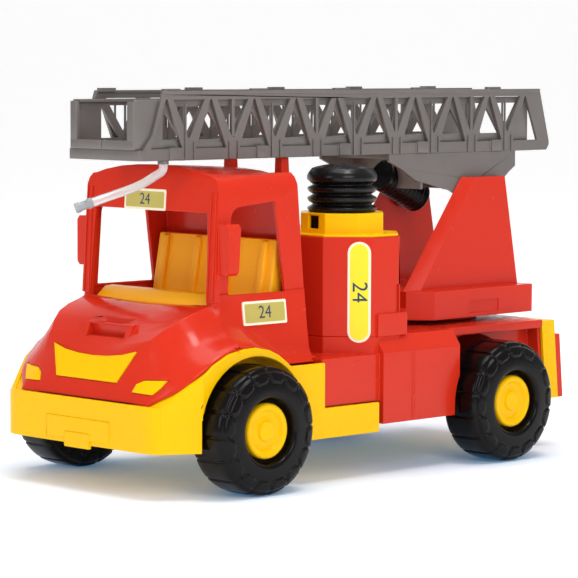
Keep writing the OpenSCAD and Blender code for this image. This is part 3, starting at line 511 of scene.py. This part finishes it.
def plate_with_openings(name, outline, openings, inside, outside):
    """A plate across Y with openings, its loops in (x, z) mm with x from the front axle."""
    corners, edges = [], []
    for loop in [outline] + openings:
        first = len(corners)
        corners += [((x - middle_x) * mm, inside * mm, z * mm) for x, z in loop]
        edges += [(first + i, first + (i + 1) % len(loop)) for i in range(len(loop))]
    mesh = bpy.data.meshes.new(name)
    mesh.from_pydata(corners, edges, [])
    piece = shown(name, mesh)
    only(piece)
    bpy.ops.object.mode_set(mode="EDIT")
    bpy.ops.mesh.select_all(action="SELECT")
    bpy.ops.mesh.fill()
    extrude_all((0, (outside - inside) * mm, 0))
    return piece


def bar(low_corner, high_corner):
    """A square bar between two corners in mm, x from the front axle."""
    low, high = Vector(low_corner), Vector(high_corner)
    centre = (low + high) / 2
    bpy.ops.object.select_all(action="DESELECT")
    bpy.ops.mesh.primitive_cube_add(size=1, scale=(high - low) * mm,
                                    location=((centre.x - middle_x) * mm, centre.y * mm, centre.z * mm))
    bpy.ops.object.transform_apply(location=True, rotation=True, scale=True)
    return bpy.context.object


def joined(name, pieces):
    """The pieces as one object of this name."""
    bpy.ops.object.select_all(action="DESELECT")
    for piece in pieces:
        piece.select_set(True)
    bpy.context.view_layer.objects.active = pieces[0]
    if len(pieces) > 1:
        bpy.ops.object.join()
    pieces[0].name = pieces[0].data.name = name
    return pieces[0]


def finished(piece, edge, finish, body, node=None):
    """Ease the edges of a new piece and fit it."""
    only(piece)
    apply_modifier(piece, "BEVEL", width=edge, segments=2, limit_method="ANGLE", angle_limit=math.radians(30))
    bpy.ops.object.shade_smooth_by_angle(angle=math.radians(35))
    fitted(piece, finish, body, node)


# the upper ladder: its wall is a band of triangles between two chords, with a
# solid plate at its front, columns inside the wall and a rung in each field
fields, ladder_pitch, first_apex = 9, 40.8, -26.4
top_front, top_back, top_low, top_high = -53.4, 346.75, 231.2, 264.7
wall_inside, wall_outside = 30.8, 33.2
opening_half = 13.6
rung_radius, rung_length = 2.4, 62.4
wall_openings = [[(first_apex - 1, 259.7), (first_apex - 1, 237.6), (first_apex + 15, 237.6)]]
for field in range(fields):
    apex = first_apex + field * ladder_pitch
    foot = apex + ladder_pitch / 2
    wall_openings.append([(foot - opening_half, 260), (foot + opening_half, 260), (foot, 240.2)])
    if field:
        wall_openings.append([(apex, 256.2), (apex + opening_half, 237.4), (apex - opening_half, 237.4)])
wall = plate_with_openings("upper_truss", [
    (top_front, top_low), (top_back, top_low), (top_back, top_high - 6), (top_back - 3, top_high),
    (top_front + 3, top_high), (top_front, top_high - 3)], wall_openings, wall_inside, wall_outside)
# one half: the wall, its two chords, and the upright and the cross-piece in front
half_ladder = [wall,
               bar((top_front + 2, 26.4, top_low + 0.1), (top_back - 0.4, 31, top_low + 2.3)),
               bar((top_front + 4, 27.2, top_high - 2.2), (top_back - 6, 31, top_high - 0.2)),
               bar((top_front - 0.2, 26.2, top_low + 0.1), (top_front + 2.4, 33, top_high - 1.2)),
               bar((top_front - 0.3, -0.5, top_low - 0.1), (top_front + 2.3, 32.9, top_low + 6.1))]
for field in range(fields):
    foot = first_apex + (field + 0.5) * ladder_pitch
    half_ladder.append(bar((foot - 1, 30.2, top_low + 2), (foot + 1, 31, top_high - 2)))
upper = joined("upper_truss", half_ladder)
only(upper)
apply_modifier(upper, "MIRROR", use_axis=(False, True, False), use_clip=False, merge_threshold=0.00001)
whole_ladder = [upper]
for field in range(fields):
    foot = first_apex + (field + 0.5) * ladder_pitch
    bpy.ops.object.select_all(action="DESELECT")
    bpy.ops.mesh.primitive_cylinder_add(vertices=16, radius=rung_radius * mm, depth=rung_length * mm,
                                        rotation=(math.pi / 2, 0, 0),
                                        location=((foot - middle_x) * mm, 0, (top_low + 2.5) * mm))
    whole_ladder.append(bpy.context.object)
upper = joined("upper_truss", whole_ladder)
finished(upper, 0.35 * mm, silver_grey, "upper_ladder", "ladder_top")

# ribs and columns that stand proud of the lower truss and of the plates below it
rib_low, rib_high, column_high = 224, 236, 262
ribs = []
for side in (-1, 1):
    rib_in, rib_out = side * 36.7 - 0.7, side * 36.7 + 0.7
    for field in range(fields + 1):
        apex = first_apex + field * ladder_pitch
        foot = apex + ladder_pitch / 2
        if field < fields:
            first_high = rib_high if field % 2 else column_high
            ribs.append(bar((foot - 4.6, rib_in, rib_low), (foot - 3.4, rib_out, first_high)))
            ribs.append(bar((foot + 3.4, rib_in, rib_low), (foot + 4.6, rib_out, rib_high)))
        if field % 2 == 0:
            ribs.append(bar((apex + 1.2, side * 36.9 - 0.9, 224.2), (apex + 11.8, side * 36.9 + 0.9, 232.4)))
ribs.append(bar((-51.4, -36.5, 223.7), (-46.2, 36.5, 231)))
finished(joined("truss_ribs", ribs), 0.25 * mm, silver_grey, "lower_ladder")

# ------------------------------------------------------- cab and bumper details
# Moulded details in the plastic of what they stand on: a ramp for the dash behind
# the windscreen's sill, raised borders on the bench's back, fine ridges up each
# windscreen post, and a shelf that closes the bumper's corners round the bonnet.
dash_line = [(-9.8, 122.5), (-9.8, 125.4), (-1.5, 132.2), (6, 132.8), (10, 130.6), (10, 124.4)]
border_line = [(41.2, 118.5), (50, 166.4), (53.6, 167.6), (45, 117.5)]
ridge_line = [(-13.8, 128), (-12, 128), (-8, 203), (-9.6, 203)]
for name, line, spans, edge, finish, slot in (
        ("dash_ramp", dash_line, ((-58, 58),), 0.8 * mm, amber, "amber_plastic"),
        ("bench_borders", border_line, ((-54, -48), (-20, -14), (14, 20), (48, 54)),
         1.0 * mm, amber, "amber_plastic"),
        ("post_ridges", ridge_line, ((-67.2, -66.3), (-62.3, -61.4), (61.4, 62.3), (66.3, 67.2)),
         0.3 * mm, red, "red_plastic")):
    plates = [plate_with_openings(name, line, [], inside, outside) for inside, outside in spans]
    finished(joined(name, plates), edge, finish, "chassis")

# the shelf, as (x, height, half width) along the bumper's top
shelf_line = [(-74.2, 61.5, 61), (-73, 61.6, 73), (-69, 62, 78), (-64, 66, 81.3), (-58, 71, 85),
              (-52, 76, 88.8), (-46, 80.4, 92.6), (-38, 86.6, 92.8)]
shelf_inside, shelf_thick = 50, 1.2 * mm
corners = [((x - middle_x) * mm, across * mm, z * mm)
           for x, z, half_width in shelf_line for across in (shelf_inside, half_width)]
mesh = bpy.data.meshes.new("bumper_shelf")
mesh.from_pydata(corners, [], [(2 * i, 2 * i + 2, 2 * i + 3, 2 * i + 1) for i in range(len(shelf_line) - 1)])
shelf = shown("bumper_shelf", mesh)
only(shelf)
apply_modifier(shelf, "MIRROR", use_axis=(False, True, False), use_clip=False)
bpy.ops.object.mode_set(mode="EDIT")
bpy.ops.mesh.select_all(action="SELECT")
extrude_all((0, 0, -shelf_thick))
finished(shelf, 0.2 * mm, yellow, "chassis")

# ------------------------------------------------------------------- labels
# Printed film labels with plain numbers: one over the windscreen, one on the
# door and one upright on the tank's cut corner. Each is laid on the skin it finds.
label_cream = plastic("label_cream", (0.92, 0.86, 0.66), 0.35, flow=0.01, peel=0.0)
label_yellow = plastic("label_yellow", (0.90, 0.78, 0.03), 0.35, flow=0.02, peel=0.0)
label_gold = plastic("label_gold", (0.52, 0.44, 0.11), 0.35, flow=0.02, peel=0.0)
label_ink = plastic("label_ink", (0.02, 0.05, 0.12), 0.4, flow=0.01, peel=0.0)
film, panel_lift, ink_lift, ink_thick = 0.4, 0.5, 0.53, 0.03      # heights over the skin, in mm
panel_margin = 1.7
figure_to_size = 1.38       # from a figure's height to its type size
off_skin = 0.03             # how far out the search for the skin starts, in m


def label(name, under, at, right, up, size, corner, digits, digit_height, panel, turn=0.0, stand=0.0):
    """A label on the piece under it: a cream plate, a coloured panel and a plain number."""
    right, up = Vector(right).normalized(), Vector(up).normalized()
    out = right.cross(up)
    start = Vector(((at[0] - middle_x) * mm, at[1] * mm, at[2] * mm)) + out * off_skin
    _, spot, _, _ = under.ray_cast(start, -out)
    lie = Matrix((right, up, out)).transposed().to_4x4()
    lie.translation = spot
    for layer, margin, lift, finish in (("plate", 0, film + stand, label_cream),
                                        ("panel", panel_margin, panel_lift + stand, panel)):
        wide, tall = size[0] - 2 * margin, size[1] - 2 * margin
        bpy.ops.object.select_all(action="DESELECT")
        bpy.ops.mesh.primitive_plane_add(size=1)
        piece = bpy.context.object
        piece.name = piece.data.name = name + "_" + layer
        piece.data.transform(Matrix.Diagonal((wide * mm, tall * mm, 1, 1)))
        bpy.ops.object.mode_set(mode="EDIT")
        bpy.ops.mesh.select_all(action="SELECT")
        rounding = min(corner, (size[0] / 2 - margin) * 0.98) * mm
        bpy.ops.mesh.bevel(offset=rounding, segments=8, affect="VERTICES")
        bpy.ops.mesh.select_all(action="SELECT")
        extrude_all((0, 0, lift * mm))
        piece.data.transform(lie)
        fitted(piece, finish, "chassis")
    bpy.ops.object.select_all(action="DESELECT")
    bpy.ops.object.text_add()
    text = bpy.context.object
    text.data.body = digits
    text.data.size = digit_height * figure_to_size * mm
    text.data.align_x = "CENTER"
    text.data.align_y = "CENTER"
    text.data.extrude = ink_thick * mm
    text.data.offset = 0.0002 * digit_height * mm
    bpy.ops.object.convert(target="MESH")
    number = bpy.context.object
    number.name = number.data.name = name + "_number"
    number.data.transform(lie @ Matrix.Translation((0, 0, (ink_lift + stand) * mm))
                          @ Matrix.Rotation(turn, 4, "Z"))
    fitted(number, label_ink, "chassis")


label("label_front", cab, at=(-9, 5.6, 195.6), right=(0, -1, 0), up=(4.5, 0, 78.3),
      size=(42.9, 14.6), corner=1.2, digits="24", digit_height=8, panel=label_gold)
label("label_door", cab, at=(32.2, -71, 119.6), right=(1, 0, 0), up=(0, 2.5, 21.5),
      size=(41, 16.4), corner=1.2, digits="24", digit_height=9, panel=label_gold, stand=0.6)
label("label_tank", bpy.data.objects["red_tank"], at=(114.15, -81.15, 129.5), right=(1, -1, 0), up=(0, 0, 1),
      size=(16.4, 71), corner=8, digits="24", digit_height=11, panel=label_yellow, turn=-math.pi / 2)

# ------------------------------------------------------------------- studio
# A pale paper sweep that runs from the floor up into the wall, and four soft
# lamps: one overhead, one small bright window, and one on each side.
sweep = bmesh.new()
wall_from, wall_round, wall_top, sweep_half = 3.2, 1.2, 5.0, 6.0
look_x, look_y = 0.695, 0.714       # the way the floor runs from the viewer to the wall
profile = [(-sweep_half, 0.0), (wall_from, 0.0)]
for k in range(1, 13):
    turn = math.pi / 2 * k / 12
    profile.append((wall_from + wall_round * math.sin(turn), wall_round - wall_round * math.cos(turn)))
profile.append((wall_from + wall_round, wall_top))
edges = [[sweep.verts.new((along * look_x - aside * look_y, along * look_y + aside * look_x, height))
          for along, height in profile] for aside in (-sweep_half, sweep_half)]
for k in range(len(profile) - 1):
    sweep.faces.new((edges[0][k + 1], edges[0][k], edges[1][k], edges[1][k + 1]))
floor = as_piece("studio_sweep", sweep)
only(floor)
bpy.ops.object.shade_smooth_by_angle(angle=math.radians(60))
paper = bpy.data.materials.new("white_paper")
paper.use_nodes = True
nodes, links = paper.node_tree.nodes, paper.node_tree.links
paper_shader = nodes["Principled BSDF"]
paper_shader.inputs["Base Color"].default_value = (0.93, 0.93, 0.93, 1)
paper_shader.inputs["Roughness"].default_value = 0.8
paper_shader.inputs["Specular IOR Level"].default_value = 0.1
paper_shader.inputs["Emission Strength"].default_value = 1.0
# painted light: the floor glows by itself, which lightens its shadow, and glows dimmer and bluer under the
# engine, a painted shadow there whose blue cancels the orange light bounced off the body
where = nodes.new("ShaderNodeTexCoord")
spread = nodes.new("ShaderNodeMapping")
spread.inputs["Location"].default_value = (0, 0.04, 0)
spread.inputs["Scale"].default_value = (2.4, 3.6, 2.4)
links.new(where.outputs["Object"], spread.inputs["Vector"])
# the round spot of painted shadow under the engine, where the floor's painted glow is dimmer and bluer
painted_shade_spot = nodes.new("ShaderNodeTexGradient")
painted_shade_spot.gradient_type = "SPHERICAL"
links.new(spread.outputs["Vector"], painted_shade_spot.inputs["Vector"])
painted_floor_glow = nodes.new("ShaderNodeValToRGB")
painted_floor_glow.color_ramp.elements[0].color = (0.36, 0.36, 0.36, 1)
painted_floor_glow.color_ramp.elements[1].position = 0.55
painted_floor_glow.color_ramp.elements[1].color = (0.012, 0.088, 0.185, 1)
links.new(painted_shade_spot.outputs["Fac"], painted_floor_glow.inputs["Fac"])
links.new(painted_floor_glow.outputs["Color"], paper_shader.inputs["Emission Color"])
floor.data.materials.append(paper)
floor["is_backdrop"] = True

lamps_aim = Vector((0, 0, 0.12))
for name, place, size, power in (("lamp_over", (0.0, 0.1, 2.0), 1.4, 19.0),
                                 ("lamp_window", (-0.1, -0.6, 1.6), 0.32, 6.0),
                                 ("lamp_right", (-0.5, -1.15, 0.7), 0.65, 5.2),
                                 ("lamp_left", (-2.2, 0.1, 0.8), 1.0, 8.0)):
    lamp = bpy.data.lights.new(name, "AREA")
    lamp.size = size
    lamp.energy = power
    stand = shown(name, lamp)
    stand.location = place
    stand.rotation_euler = (lamps_aim - Vector(place)).to_track_quat("-Z", "Y").to_euler()

sky = bpy.data.worlds.new("soft_room")
sky.use_nodes = True
sky.node_tree.nodes["Background"].inputs["Color"].default_value = (1, 1, 1, 1)
sky.node_tree.nodes["Background"].inputs["Strength"].default_value = 0.45
bpy.context.scene.world = sky
bpy.context.scene.view_settings.view_transform = "Standard"

bpy.context.view_layer.update()
low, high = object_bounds()
